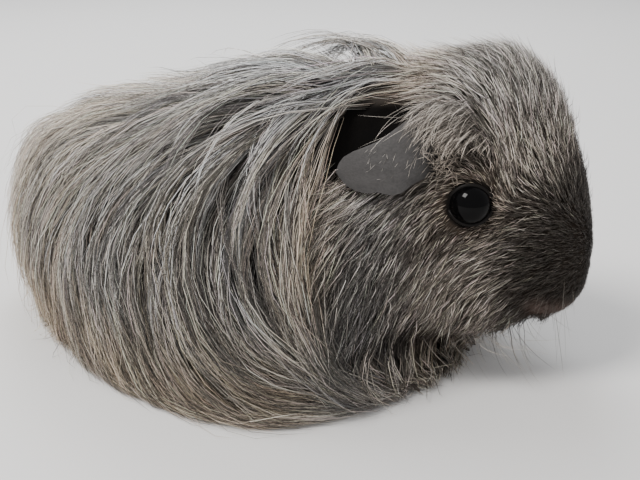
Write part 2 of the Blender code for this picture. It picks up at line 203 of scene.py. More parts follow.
def relaxed(mesh, points, weight, rounds=1):
    """The vertices drawn towards the mean of their neighbours, as far as weight says."""
    ends = np.empty(len(mesh.edges) * 2, int)
    mesh.edges.foreach_get("vertices", ends)
    a, b = ends.reshape(-1, 2).T
    count = np.bincount(ends, minlength=len(points))[:, None]
    for _ in range(rounds):
        total = np.zeros_like(points)
        for axis in range(3):
            total[:, axis] = np.bincount(a, points[b, axis], len(points))
            total[:, axis] += np.bincount(b, points[a, axis], len(points))
        points = points + (total / np.maximum(count, 1) - points) * weight
    return points


EAR_LENGTH = 0.0276
EAR_ROOT = np.array([-0.0065, 0.0255, 0.0104])  # of the left ear, in the head's frame
EAR_BACK = np.array([-0.968, 0.2413, -0.0698])  # from root to tip
EAR_IN = unit(np.cross((0.05, -0.22, 0.97), EAR_BACK))
EAR_UP = np.cross(EAR_BACK, EAR_IN)


def by_ear(points):
    """Places by the nearer ear: along its blade, up across it, and inward from it."""
    head = in_head(points)
    head[..., 1] = np.abs(head[..., 1])
    offset = head - EAR_ROOT
    return offset @ EAR_BACK, offset @ EAR_UP, offset @ EAR_IN


def bridged(mesh):
    """The form with the hollow round each ear bridged by an even surface."""
    points = places(mesh)
    along, up, inward = by_ear(points)
    reach = np.sqrt(((along - 0.0150) / 0.0200) ** 2 + ((up - 0.0070) / 0.0165) ** 2)
    weight = fade(reach, 1.0, 1.3) * fade(np.abs(inward), 0.015, 0.021)
    return relaxed(mesh, points, weight[:, None], BRIDGE_ROUNDS)


copies(FLESH + EYES)
solids = list(bpy.context.selected_objects)
solids.append(rounded(BELLY_MIDDLE, BELLY_RADII))
for side_name, side in SIDES:
    solids.append(rounded(middle_of(f"front_foot_{side_name}") * (1.0, 1.0, 0.0), PAW_RADII))
outline = melted("coat_outline", solids, OUTLINE_GRAIN)
points = places(outline.data)
points[:, 2] = np.maximum(points[:, 2], 0.0)
move_to(outline.data, points)
move_to(outline.data, bridged(outline.data))
outline_tree = BVHTree.FromObject(outline, bpy.context.evaluated_depsgraph_get())

# ---------------------------------------------------------------- skin
# One skin is stretched over the flesh of head, body and legs. It is soft and grey-brown, nearly black
# and bare on the nose, and brown on the lips. The face keeps its nostrils, the cleft below them and
# the mouth.

NOSE_TIP = np.array([0.0325, 0.0, -0.0200])  # in the head's frame
MOUTH_LEVEL = NOSE_TIP[2] - 0.0145
NOSTRIL_SPREAD = 0.0029
FACE_GRAIN = 0.0009
BELLY_CLEARANCE = 0.0070
HAIR_DEPTHS = ((0.005, 0.011, 0.020, 0.034, 0.050, 0.066), (0.0002, 0.0008, 0.0022, 0.0036, 0.0050, 0.0075))
BODY_HAIR_DEPTH = 0.0115
SINK_STEPS = 8
HOLLOW_MIDDLE, HOLLOW_RADII = (0.0172, 0.0090), (0.0122, 0.0092)  # along and up from the root of the ear
CANAL_MIDDLE, CANAL_RADII = (-0.0012, 0.0012), (0.0048, 0.0036)
DARK_HAIR, LIGHT_HAIR = np.array([0.030, 0.0275, 0.0265]), np.array([0.80, 0.765, 0.72])
RING_LIGHT = np.array([0.30, 0.225, 0.155])  # of the short hair round the eye
LIP_DARK, LIP_LIGHT = np.array([0.12, 0.078, 0.063]), np.array([0.17, 0.115, 0.095])
RUMP_TINT, HEM_TINT, WITHERS_TINT = (1.05, 0.97, 0.88), (1.04, 0.93, 0.81), (0.98, 1.0, 1.03)
MANE_TINT, FACE_TINT = (1.10, 0.99, 0.88), (1.05, 0.98, 0.90)
CHEST_PATCHES = (((0.022, 0.057, 0.047), 0.0145), ((0.051, 0.041, 0.026), 0.0140))  # shaded: place and size


def from_oval(points, middle, radii):
    """How far each place lies from the middle of an oval beside the ear, its rim being 1."""
    along, up, inward = by_ear(points)
    deep = np.maximum(np.abs(inward) - 0.008, 0.0)
    flat = ((along - middle[0]) / radii[0]) ** 2 + ((up - middle[1]) / radii[1]) ** 2
    return np.sqrt(flat + (deep / 0.004) ** 2)


def hollow(points):
    """How far each place lies from the middle of the hollow over the ear."""
    return from_oval(points, HOLLOW_MIDDLE, HOLLOW_RADII)


def canal(points):
    """How far each place lies from the middle of the ear's opening, before its root."""
    return from_oval(points, CANAL_MIDDLE, CANAL_RADII)


def eye_distance(points):
    """The distance of each place from the middle of the nearer eye."""
    return np.minimum(*(np.linalg.norm(points - middle_of(eye), axis=-1) for eye in EYES))


def nose_distance(head):
    """The distance of each place in the head's frame from the tip of the nose."""
    return np.linalg.norm(head - NOSE_TIP, axis=1)


def long_share(head):
    """Where the long hair of mane and body takes over from the short hair of the face."""
    start = -0.036 + 0.024 * ramp(head[..., 2], 0.008, 0.026) + 0.042 * ramp(-head[..., 2], 0.026, 0.037)
    return fade(head[..., 0], start - 0.004, start + 0.006)


def coat_depth(points):
    """How deep the coat is over each place: from the bare nose to the long hair of the body."""
    head = in_head(points)
    from_nose = nose_distance(head)
    on_body = ramp(-head[:, 0], 0.026, 0.050)
    depth = np.interp(from_nose, *HAIR_DEPTHS) * (1 - on_body) + BODY_HAIR_DEPTH * on_body
    depth *= 0.20 + 0.80 * ramp(eye_distance(points), 0.0064, 0.0150)
    return depth


def socketed(points):
    """Skin that keeps clear of the ear's blade and sinks into the hollow over it."""
    along, up, inward = by_ear(points)
    under = np.sqrt(((along - 0.0165) / 0.0150) ** 2 + ((up - 0.0030) / 0.0115) ** 2)
    wanted = 0.0020 - 0.0160 * ramp(under, 0.95, 1.5)
    wanted = np.maximum(wanted, 0.0090 - 0.0230 * ramp(hollow(points), 0.60, 1.30))
    push = np.maximum(wanted - inward, 0.0) * (inward > -0.014)
    way = EAR_IN * np.ones_like(points)
    way[:, 1] *= np.sign(in_head(points)[:, 1])
    return points + push[:, None] * way @ HEAD_AXES


def build_skin():
    """The skin, sunk below the outline in small steps, joined to the feet and then given its face."""
    form = outline.copy()
    form.data = outline.data.copy()
    bpy.context.scene.collection.objects.link(form)
    depth = coat_depth(places(form.data))
    low = fade(-directions(form.data)[:, 2], 0.4, 0.8)
    depth = np.minimum(depth, BELLY_CLEARANCE + 0.0045 * low)[:, None]
    for _ in range(SINK_STEPS):
        points = places(form.data) - directions(form.data) * depth / SINK_STEPS
        points = relaxed(form.data, points, 0.15 + 0.6 * ramp(depth, 0.001, 0.006))
        move_to(form.data, points)
    for _ in range(SINK_STEPS):
        found = [outline_tree.find_nearest(point)[:2] for point in points.tolist()]
        near, out = (np.array([tuple(hit[k]) for hit in found]) for k in (0, 1))
        wanted = np.where(out[:, 2] < -0.7, BELLY_CLEARANCE, coat_depth(near))[:, None]
        inside = np.sum((points - near) * out, axis=1, keepdims=True) < 0
        gap = np.linalg.norm(points - near, axis=1, keepdims=True) * np.where(inside, 1, -1)
        away = np.where(gap > 0.0003, unit(points - near), -out)
        points = points + away * np.clip(wanted - gap, 0.0, 0.003) * ramp(wanted, 0.003, 0.006)
        points = relaxed(form.data, points, 0.5 * ramp(wanted, 0.003, 0.006), 2)
    points = relaxed(form.data, socketed(points), 0.5 * fade(hollow(points), 1.2, 1.8)[:, None], 4)
    move_to(form.data, points)
    copies(FEET)
    obj = melted("skin", [form, *bpy.context.selected_objects], FACE_GRAIN)
    mesh = obj.data
    bm = bmesh.new()
    bm.from_mesh(mesh)
    muzzle = Vector(from_head(NOSE_TIP + (-0.004, 0.0, -0.006)))
    fine = [edge for edge in bm.edges if (edge.verts[0].co - muzzle).length < 0.0165]
    bmesh.ops.subdivide_edges(bm, edges=fine, cuts=1, use_grid_fill=True)
    bmesh.ops.triangulate(bm, faces=[face for face in bm.faces if len(face.verts) > 4])
    bm.to_mesh(mesh)
    bm.free()
    calm = 0.5 * ramp(places(mesh)[:, 2], 0.006, 0.010)[:, None]
    move_to(mesh, relaxed(mesh, places(mesh), calm, 3))
    shape_face(mesh)
    mesh.shade_smooth()
    return obj


def shape_face(mesh):
    """Sinks the nostrils, the cleft and the mouth into the muzzle, and lifts the lower lip."""
    points = places(mesh)
    head = in_head(points)
    across, height = np.abs(head[:, 1]), head[:, 2] - NOSE_TIP[2]
    ahead = ramp(head[:, 0], NOSE_TIP[0] - 0.012, NOSE_TIP[0] - 0.006)

    def spot(side_place, up_place, wide, tall):
        return np.exp(-(((across - side_place) / wide) ** 2) - ((height - up_place) / tall) ** 2)

    sink = 0.0017 * spot(NOSTRIL_SPREAD, -0.0002, 0.0008, 0.0010)
    sink += 0.0010 * spot(NOSTRIL_SPREAD + 0.0013, 0.0008, 0.0009, 0.0005)
    swell = 0.0003 * spot(NOSTRIL_SPREAD + 0.0012, -0.0016, 0.0018, 0.0014)
    swell += 0.0002 * spot(0.0, 0.0024, 0.0030, 0.0014)
    mouth = MOUTH_LEVEL - NOSE_TIP[2]
    down_to_mouth = ramp(height, mouth - 0.0006, mouth + 0.0006) * fade(height, -0.0030, -0.0006)
    sink += 0.0010 * hill(across, 0.0, 0.00055) * down_to_mouth
    corner = mouth - 0.10 * across
    sink += 0.0012 * hill(height, corner, 0.0006) * fade(across, 0.0050, 0.0075)
    swell += 0.0010 * hill(height - corner, -0.0016, 0.0011) * fade(across, 0.0025, 0.0050)
    points += directions(mesh) * ((swell - sink) * ahead)[:, None]
    move_to(mesh, points)


def lip_share(head):
    """How far each place in the head's frame belongs to the lips."""
    aside = np.abs(head[:, 1])
    near = hill(head[:, 2] - MOUTH_LEVEL, 0.0045 * (aside / 0.0175) ** 2, 0.0021)
    near = near * ramp(head[:, 0], 0.012, 0.019) * (0.35 + 0.65 * ramp(aside, 0.004, 0.012))
    return near * fade(aside, 0.019, 0.023)


def coat_tones(points):
    """The markings of skin and hair at each place, with two patches of painted shade: dark colour, light
    colour and share of light hair.
    """
    head = in_head(points)
    low, high = outline_box
    length = (points[:, 0] - low[0]) / (high[0] - low[0])
    height = points[:, 2] / high[2]
    from_nose = nose_distance(head)
    wave = np.sin(points @ (61.0, 37.0, 83.0)) * np.sin(points @ (-47.0, 71.0, 29.0) + 1.3)
    dark, light = DARK_HAIR * np.ones_like(points), LIGHT_HAIR * np.ones_like(points)
    share = 0.43 + 0.12 * wave
    rump = fade(length, 0.10, 0.45)
    hem = fade(height, 0.05, 0.40) * fade(head[:, 0], -0.045, -0.025)
    withers = ramp(height, 0.70, 0.92) * fade(head[:, 0], -0.035, -0.015)
    face = ramp(head[:, 0], -0.030, -0.008)
    muzzle = fade(from_nose, 0.025, 0.042)
    line = -0.036 + 0.018 * ramp(head[:, 2], 0.010, 0.030)
    mane = hill(head[:, 0], line, 0.007) * ramp(height, 0.15, 0.45)
    brown = face * (1 - 0.6 * ramp(head[:, 2], 0.012, 0.030))
    dark = dark + brown[:, None] * (0.012, 0.006, 0.001)
    tints = (RUMP_TINT, HEM_TINT, WITHERS_TINT, MANE_TINT, FACE_TINT)
    for amount, tint in zip((rump, hem, withers, mane, brown), tints):
        change = 1 + amount[:, None] * (np.array(tint) - 1)
        dark, light = dark * change, light * change
    upper = ramp(height, 0.50, 0.80) * fade(head[:, 0], -0.045, -0.025)
    dark = dark * (1 + 0.9 * upper)[:, None]
    share = share + 0.34 * rump + 0.20 * withers + 0.28 * mane + 0.02 * face
    keep = 1 - 0.97 * muzzle
    # Two patches of painted shade darken the coat on each flank.
    for patch, size in CHEST_PATCHES:
        from_patch = np.stack([points[:, 0], np.abs(points[:, 1]), points[:, 2]], axis=1) - np.array(patch)
        shadowy = hill(np.linalg.norm(from_patch * (1.25, 1.0, 0.75), axis=1), 0.0, size)
        share = share * (1 - 0.75 * shadowy)
        dark = dark * (1 - 0.35 * shadowy)[:, None]
    along, up, inward = by_ear(points)
    before_ear = np.exp(-(((along - 0.001) / 0.0085) ** 2) - (((up - 0.006) / 0.0065) ** 2))
    share = share * (1 - 0.45 * before_ear * (np.abs(inward) < 0.012))
    share = share * keep
    light = light * (0.30 + 0.70 * keep)[:, None]
    dark = dark * (0.45 + 0.55 * keep)[:, None]
    ring = np.exp(-((eye_distance(points) / 0.0110) ** 4))[:, None] * 0.7
    light = light * (1 - ring) + RING_LIGHT * ring
    lip = 0.85 * lip_share(head)[:, None]
    light = light * (1 - lip) + LIP_LIGHT * lip
    dark = dark * (1 - lip) + LIP_DARK * lip
    return dark, light, np.clip(share, 0.0, 1.0)


def paint(mesh, colours, roughness=1.0):
    """Stores a colour and a roughness at each vertex, for the piece's material to read."""
    layer = mesh.color_attributes.new("tone", "FLOAT_COLOR", "POINT")
    rgba = np.ones((len(mesh.vertices), 4))
    rgba[:, :3] = colours
    rgba[:, 3] = roughness
    layer.data.foreach_set("color", rgba.ravel())


def plain_material(name, colour, roughness, specular=0.5):
    """A material of one colour and one finish."""
    material = bpy.data.materials.new(name)
    material.use_nodes = True
    inputs = material.node_tree.nodes["Principled BSDF"].inputs
    inputs["Base Color"].default_value = (*colour, 1.0)
    inputs["Roughness"].default_value = roughness
    inputs["Specular IOR Level"].default_value = specular
    return material


def toned_material(name, roughness, specular):
    """A material that reads its colour from the mesh."""
    material = plain_material(name, (0.8, 0.8, 0.8), roughness, specular)
    nodes = material.node_tree.nodes
    tone = nodes.new("ShaderNodeAttribute")
    tone.attribute_name = "tone"
    material.node_tree.links.new(tone.outputs["Color"], nodes["Principled BSDF"].inputs["Base Color"])
    return material


def add_grain(material, size, strength):
    """A fine bump, as of pores, on a material."""
    nodes, links = material.node_tree.nodes, material.node_tree.links
    spots = nodes.new("ShaderNodeTexCoord")
    noise = nodes.new("ShaderNodeTexNoise")
    noise.inputs["Scale"].default_value = 1 / size
    bump = nodes.new("ShaderNodeBump")
    bump.inputs["Strength"].default_value = strength
    bump.inputs["Distance"].default_value = size * 0.3
    links.new(spots.outputs["Object"], noise.inputs["Vector"])
    links.new(noise.outputs["Fac"], bump.inputs["Height"])
    links.new(bump.outputs["Normal"], nodes["Principled BSDF"].inputs["Normal"])


skin = build_skin()
points = places(skin.data)
dark, light, share = coat_tones(points)
# Near-black skin: painted shade in the hollow over each ear and in each ear's opening, and the bare dark skin
# round each eye.
bare = fade(hollow(points), 1.45, 1.90)
bare = np.maximum(bare, fade(canal(points), 0.9, 1.3))
bare = np.maximum(bare, fade(eye_distance(points), 0.0060, 0.0075))
skin_tone = (dark * 0.75 + light * share[:, None] * 0.03) * (1 - 0.93 * bare)[:, None]
head = in_head(points)
moist = np.maximum(lip_share(head), fade(nose_distance(head), 0.004, 0.010))
paint(skin.data, skin_tone, 0.85 - 0.45 * moist)
skin_material = toned_material("skin", 0.55, 0.10)
skin_nodes = skin_material.node_tree.nodes
roughness = skin_nodes["Principled BSDF"].inputs["Roughness"]
skin_material.node_tree.links.new(skin_nodes["Attribute"].outputs["Alpha"], roughness)
add_grain(skin_material, 0.0006, 0.35)
skin.data.materials.clear()
skin.data.materials.append(skin_material)
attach(skin, "root")
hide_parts(*FLESH, *FEET)

# ---------------------------------------------------------------- eyes and eyelids
# Each eye is a wet black ball, held in its socket and mostly sunk in the head. A thin dark rim of lid,
# a hairless fold of the skin, lies close round it.

EYE_RADIUS = 0.0055
LID_REACH = 0.0051  # from the axis of the eye to the middle of the rim
LID_THICKNESS = 0.0005
LID_TURNS, LID_RING = 96, 12
LID_COLOUR = np.array([0.0065, 0.0055, 0.0050])
eye_material = plain_material("eye_gloss", (0.0015, 0.0014, 0.0016), 0.04, 0.09)
lid_material = toned_material("eyelid", 0.45, 0.10)
add_grain(lid_material, 0.0004, 0.3)

for side_name, side in SIDES:
    eye_place = middle_of(f"eye_{side_name}")
    bpy.ops.object.select_all(action="DESELECT")
    bpy.ops.mesh.primitive_uv_sphere_add(segments=64, ring_count=32, radius=EYE_RADIUS, location=eye_place)
    ball = named(f"eyeball_{side_name}")
    bpy.ops.object.transform_apply(location=True, rotation=True, scale=True)
    ball.data.shade_smooth()
    ball.data.materials.append(eye_material)
    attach(ball, "root")
    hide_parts(f"eye_{side_name}")

    # the rim hugs the ball round an axis that points outward, a little forward and up
    bpy.ops.mesh.primitive_torus_add(
        major_segments=LID_TURNS, minor_segments=LID_RING, major_radius=LID_REACH, minor_radius=LID_THICKNESS
    )
    lid = named(f"eyelid_{side_name}")
    facing = unit(np.array([0.12, side, 0.16]))
    across = unit(np.cross(UP, facing))
    upright = np.cross(facing, across)
    ring_at = places(lid.data)
    angle = np.arctan2(ring_at[:, 1], ring_at[:, 0])
    # the opening is a little longer than high
    corner = 0.00030 * np.cos(angle) ** 8 + 0.00012 * np.cos(2 * angle)
    spokes = np.stack([np.cos(angle), np.sin(angle)], axis=1)
    flat = ring_at[:, :2] + spokes * corner[:, None]
    rise = np.sqrt(EYE_RADIUS**2 - np.minimum(LID_REACH + corner, EYE_RADIUS) ** 2)
    lift = ring_at[:, 2] + rise + 0.0001
    in_frame = flat[:, :1] * across + flat[:, 1:] * upright + lift[:, None] * facing
    move_to(lid.data, in_frame @ HEAD_AXES + eye_place)
    lid.data.shade_smooth()
    paint(lid.data, LID_COLOUR)
    lid.data.materials.append(lid_material)
    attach(lid, "root")

# ---------------------------------------------------------------- ears
# Each ear is a thin bare petal of dark grey skin over gristle. It grows from the side of the head and
# droops back over the cheek, with two shallow lobes on its lower edge and fine creases from the root
# outward.

EAR_ALONG = (0.00, 0.10, 0.20, 0.31, 0.42, 0.51, 0.575, 0.63, 0.72, 0.82, 0.91, 0.955, 0.985)
EAR_UPPER = (12.4, 12.8, 12.6, 11.1, 9.4, 7.8, 6.7, 6.1, 5.3, 4.5, 3.3, 1.8, -0.2)  # mm above the axis
EAR_LOWER = (1.6, 2.7, 3.7, 4.8, 6.8, 7.1, 6.6, 6.0, 6.2, 5.4, 3.7, 1.9, 0.2)  # mm below the axis
EAR_TIP = 0.985  # the share of the length where the blade ends
EAR_THICKNESS = 0.0007
EAR_COLOUR = np.array([0.045, 0.0425, 0.0415])


def ear_edges(along):
    """How far the upper and lower edges of an ear lie from its axis, at a share of its length."""
    upper = np.interp(along, EAR_ALONG, EAR_UPPER) / 1000
    lower = np.interp(along, EAR_ALONG, EAR_LOWER) / 1000
    return upper, lower


def ear_surface(along, across):
    """Places on the middle of the left ear's blade, in the head's frame."""
    upper, lower = ear_edges(along)
    height = upper * across - lower * (1 - across)
    cup = 0.0030 * (2 * across - 1) ** 2 * (1 - along) - 0.0018 * np.sin(np.pi * along)
    ripple = 0.0003 * np.sin(height / 0.0035 + 4 * along) * along
    crease = 0.00002 * np.sin(height / 0.0006 + 7 * along) * np.sin(np.pi * across)
    bent = (cup + ripple + crease)[..., None] * EAR_IN
    bent = bent + (0.0065 * np.maximum(1 - along / 0.20, 0.0) ** 2)[..., None] * EAR_IN
    return EAR_ROOT + EAR_LENGTH * along[..., None] * EAR_BACK + height[..., None] * EAR_UP + bent


ear_material = toned_material("ear_skin", 0.55, 0.30)
add_grain(ear_material, 0.0004, 0.5)
for side_name, side in SIDES:
    bpy.ops.object.select_all(action="DESELECT")
    bpy.ops.mesh.primitive_grid_add(x_subdivisions=72, y_subdivisions=48, size=1.0)
    ear = named(f"ear_skin_{side_name}")
    grid = places(ear.data)
    along, across = EAR_TIP * (1 - (0.5 - grid[:, 0]) ** 1.25), grid[:, 1] + 0.5
    at = ear_surface(along, across)
    at[:, 1] *= side
    move_to(ear.data, from_head(at))
    add_modifier(ear, "SMOOTH", factor=0.5, iterations=3)
    add_modifier(ear, "SOLIDIFY", thickness=EAR_THICKNESS, offset=0.0)
    add_modifier(ear, "BEVEL", width=0.0002, segments=2, limit_method="ANGLE")
    edit_all(bpy.ops.mesh.normals_make_consistent, inside=False)
    ear.data.shade_smooth()
    at = in_head(places(ear.data))
    root_shade = 1 - 0.80 * ramp(at[:, 0], EAR_ROOT[0] - 0.010, EAR_ROOT[0] + 0.001)
    _, up, _ = by_ear(at)
    tone = 1 + 0.22 * np.random.default_rng(3).uniform(-1, 1, len(at)) + 0.16 * ramp(-up, -0.004, 0.005)
    for grain, turn in (((310.0, 90.0, 900.0), 0.0), ((-200.0, 300.0, 1500.0), 2.0)):
        tone = tone + 0.05 * np.sin(at @ grain + turn)
    paint(ear.data, EAR_COLOUR * (root_shade * tone)[:, None])
    ear.data.materials.append(ear_material)
    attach(ear, "root")
    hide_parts(f"ear_{side_name}")

# ---------------------------------------------------------------- claws
# The claws are short dark horn, grown from the ends of the toes: four on each front foot and three on
# each hind foot. The CAD's own claws stay, in a finish with a slight sheen.

claw_material = plain_material("claw_horn", (0.045, 0.036, 0.030), 0.35)
for name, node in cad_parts.items():
    if "claw" in name:
        node.data.materials.clear()
        node.data.materials.append(claw_material)

# ---------------------------------------------------------------- making hair
# A hair is a thin tapering thread of horn that grows from the skin. Here every one is a closed blade of
# three sides. The blades are made in bulk from their centre lines, and each carries its own small
# patch of the coat's map at its root's place.

LIMIT = 190000  # triangles in one piece
PATCH = 0.003  # size of one hair's patch, as a share of the map
STRAY_SHARE = 0.025  # how far a loose hair may leave the outline's box, as a share of its side
SHADED_SIDE = 0.55  # how much darker a hair is along its sides than along its ridge
rng = np.random.default_rng(7)
hair_material = toned_material("hair", 0.42, 0.40)


def random_roots(count, weight):
    """Places and normals spread over the skin, as thickly as weight says for each triangle's middle."""
    mesh = skin.data
    mesh.calc_loop_triangles()
    corners = np.empty(len(mesh.loop_triangles) * 3, int)
    mesh.loop_triangles.foreach_get("vertices", corners)
    corners = corners.reshape(-1, 3)
    at, out = places(mesh), directions(mesh)
    a, b, c = at[corners[:, 0]], at[corners[:, 1]], at[corners[:, 2]]
    area = np.linalg.norm(np.cross(b - a, c - a), axis=1) * weight((a + b + c) / 3, out[corners[:, 0]])
    chance = np.cumsum(area) / area.sum()
    pick = np.searchsorted(chance, rng.random(count))
    u, v = rng.random((2, count, 1))
    flip = (u + v) > 1
    u, v = np.where(flip, 1 - u, u), np.where(flip, 1 - v, v)
    mix = (1 - u - v, u, v)
    spots = sum(share_of * at[corners[pick, k]] for k, share_of in enumerate(mix))
    outward = unit(sum(share_of * out[corners[pick, k]] for k, share_of in enumerate(mix)))
    return spots, outward


def unwrapped(points, outward):
    """The place of each root on a flat layout of the skin, cut into its six sides."""
    low, high = np.array(outline_box[0]), np.array(outline_box[1])
    flat = (points - low) / (high[0] - low[0])
    axis = np.argmax(np.abs(outward), axis=1)
    positive = outward[np.arange(len(axis)), axis] > 0
    first = np.where(axis == 0, flat[:, 1], flat[:, 0])
    second = np.where(axis == 2, flat[:, 1], flat[:, 2])
    return np.stack([(axis + 0.02 + 0.94 * first) / 3, (positive + 0.04 + 0.90 * second) / 2], axis=1)


def hair_piece(name, lines, outward, widths, colours, roots, root_out):
    """One mesh of hairs. lines is hairs x points x 3, the last point being the tip."""
    hairs, count, _ = lines.shape
    rings = count - 1
    along = unit(np.gradient(lines, axis=1))[:, :rings]
    upward = unit(outward - along * np.sum(outward * along, axis=2, keepdims=True))
    centre, half = lines[:, :rings], widths[:, :, None] / 2
    aside = np.cross(along, upward) * half
    corners = np.stack([centre + upward * half * 0.9, centre + aside, centre - aside], axis=2)
    verts = np.concatenate([corners.reshape(hairs, rings * 3, 3), lines[:, -1:]], axis=1)
    per_hair = rings * 3 + 1
    faces = [(2, 1, 0)]
    for ring in range(rings - 1):
        for corner in range(3):
            this, after = ring * 3 + corner, ring * 3 + (corner + 1) % 3
            faces += [(this, after, after + 3), (this, after + 3, this + 3)]
    last = (rings - 1) * 3
    faces += [(last + corner, last + (corner + 1) % 3, rings * 3) for corner in range(3)]
    faces = np.array(faces)
    every = (faces[None] + (np.arange(hairs) * per_hair)[:, None, None]).reshape(-1, 3)
    mesh = bpy.data.meshes.new(name)
    mesh.vertices.add(hairs * per_hair)
    mesh.vertices.foreach_set("co", verts.ravel())
    mesh.loops.add(every.size)
    mesh.loops.foreach_set("vertex_index", every.ravel())
    mesh.polygons.add(len(every))
    mesh.polygons.foreach_set("loop_start", np.arange(len(every)) * 3)
    mesh.update(calc_edges=True)
    shade = np.repeat(colours, 3, axis=1) * np.tile([1.0, SHADED_SIDE, SHADED_SIDE], count)[None, :, None]
    shade = np.concatenate([shade[:, : rings * 3], colours[:, -1:]], axis=1)
    paint(mesh, shade.reshape(-1, 3))
    across = np.tile([0.5, 1.0, 0.0], rings)
    up_patch = np.repeat(np.arange(rings) / rings, 3)
    patch = np.stack([np.append(across, 0.5), np.append(up_patch, 1.0)], axis=1) * PATCH
    uv = unwrapped(roots, root_out)[:, None] + patch[None]
    layer = mesh.uv_layers.new(name="OFBake")
    layer.uv.foreach_set("vector", uv.reshape(-1, 2)[every.ravel()].ravel().astype(np.float32))
    mesh.shade_smooth()
    mesh.materials.append(hair_material)
    obj = bpy.data.objects.new(name, mesh)
    bpy.context.scene.collection.objects.link(obj)
    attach(obj, "root")


def hair_pieces(name, chosen, *hairs):
    """The chosen hairs, shared out over as many pieces as the limit on triangles asks."""
    hairs = [values[chosen] for values in hairs]
    lines, roots = hairs[0], hairs[4]
    most = LIMIT // (6 * (lines.shape[1] - 1) - 2)
    order = np.argsort(roots[:, 0])
    share_out = np.array_split(order, math.ceil(len(order) / most))
    for number, part in enumerate(share_out, 1):
        hair_piece(f"{name}_{number}", *(values[part] for values in hairs))


def hair_colours(lines, light_from, light_to):
    """The colours along each hair: dark at the root, and towards the tip light or dark as its kind is."""
    hairs, points, _ = lines.shape
    dark, light, _ = (tone.reshape(hairs, points, -1) for tone in coat_tones(lines.reshape(-1, 3)))
    share = coat_tones(lines[:, (2 * points) // 3])[2]
    pale = (rng.random(hairs) < share)[:, None]
    strength = np.where(pale, rng.uniform(0.55, 1.15, (hairs, 1)), rng.uniform(0.03, 0.22, (hairs, 1)))
    tint = 1 + rng.normal(0, 0.035, (hairs, 1, 3))
    place = np.linspace(0.0, 1.0, points)[None, :]
    start = rng.uniform(light_from, light_to, (hairs, 1))
    amount = ramp(place, start, start + 0.25) * strength
    colours = dark + (light * tint - dark) * np.clip(amount, 0, 1.2)[:, :, None]
    return np.clip(colours, 0.002, 0.9)


# The lie of the hair: degrees from straight back (0) through down or outward (90) to forward (180).
# On the head, by height above the eyes and by place behind the eyes (minus) or before them.
FACE_PLACES = np.array([-33, -25, -15, -9, -2, 6, 15, 25]) / 1000
FACE_HEIGHTS = np.array([-42, -34, -26, -19, -12, -6, 0, 5, 10, 16, 22, 28, 35]) / 1000
FACE_LIE = (
    (150, 145, 135, 130, 130, 130, 120, 110),
    (120, 80, 70, 75, 85, 85, 60, 40),
    (105, 82, 65, 72, 70, 60, 25, 20),
    (92, 73, 71, 66, 55, 20, 10, 15),
    (75, 69, 61, 57, 50, 15, 0, 0),
    (55, 53, 52, 48, 40, -10, 5, -20),
    (46, 44, 45, 40, 20, -20, -15, -44),
    (50, 35, 36, 34, 10, -50, -43, -43),
    (76, 60, 42, 36, -5, -60, -46, -45),
    (72, 49, 39, 32, -22, -57, -46, -47),
    (62, 36, 28, 18, -32, -57, -58, -55),
    (54, 40, 28, 10, -36, -50, -52, -50),
    (45, 40, 10, 0, -20, -30, -35, -40),
)
# On the body, by the turn round its long axis (90 on the spine) and by place along it.
BODY_PLACES = np.array([-85, -65, -45, -25, -5, 15, 35]) / 1000
BODY_TURNS = (-35, -15, 10, 35, 60, 85)
BODY_LIE = (
    (60, 65, 95, 122, 145, 165, 178),
    (62, 62, 78, 104, 118, 138, 155),
    (82, 68, 66, 84, 94, 106, 125),
    (92, 84, 64, 60, 62, 74, 94),
    (80, 72, 42, 30, 28, 50, 70),
    (30, 20, 12, 10, 12, 30, 40),
)


def from_table(table, rows, columns, row_at, column_at):
    """Values read off a table, evenly between its rows and columns."""
    table = np.array(table, float)
    row = np.interp(row_at, rows, np.arange(len(rows)))
    column = np.interp(column_at, columns, np.arange(len(columns)))
    under, left = np.minimum(row.astype(int), len(rows) - 2), np.minimum(column.astype(int), len(columns) - 2)
    rest = column - left
    lower = table[under, left] * (1 - rest) + table[under, left + 1] * rest
    upper = table[under + 1, left] * (1 - rest) + table[under + 1, left + 1] * rest
    return lower * (1 - (row - under)) + upper * (row - under)


def along_surface(vector, outward):
    """The part of a direction that lies along the surface."""
    flat = vector - outward * np.sum(vector * outward, axis=-1, keepdims=True)
    return flat / (np.linalg.norm(flat, axis=-1, keepdims=True) + 0.12)


def coat_lie(points, outward):
    """The way the hair lies at each place."""
    head = in_head(points)
    face = from_table(FACE_LIE, FACE_HEIGHTS, FACE_PLACES, head[:, 2], head[:, 0])
    turn = np.degrees(np.arctan2(points[:, 2] - 0.030, np.abs(points[:, 1])))
    body = from_table(BODY_LIE, BODY_TURNS, BODY_PLACES, turn, points[:, 0])
    on_head = ramp(head[:, 0], -0.042, -0.030)
    angle = np.radians(face * on_head + body * (1 - on_head))[:, None]
    side = (np.tanh(head[:, 1] / 0.006) * on_head + np.tanh(points[:, 1] / 0.014) * (1 - on_head))[:, None]
    blend = on_head[:, None]
    back = -HEAD_AXES[0] * blend + np.array([-1.0, 0.0, 0.0]) * (1 - blend)
    aside = HEAD_AXES[1] * blend + np.array([0.0, 1.0, 0.0]) * (1 - blend)
    level = np.hypot(outward[:, :1], outward[:, 1:2])
    astern = ramp(-outward[:, :1] / (level + 0.01), 0.45, 0.85) * ramp(level, 0.25, 0.60) * (1 - blend)
    down = aside * side * (1 - astern) - UP
    lie = np.cos(angle) * along_surface(back, outward) + np.sin(angle) * along_surface(down, outward)
    return unit(lie)


def turned(lie, outward, angle):
    """Directions swung along the surface by an angle."""
    angle = np.asarray(angle)[:, None]
    return lie * np.cos(angle) + np.cross(outward, lie) * np.sin(angle)


SPINE = (-0.055, 0.030)  # the length over which the flanks face straight out


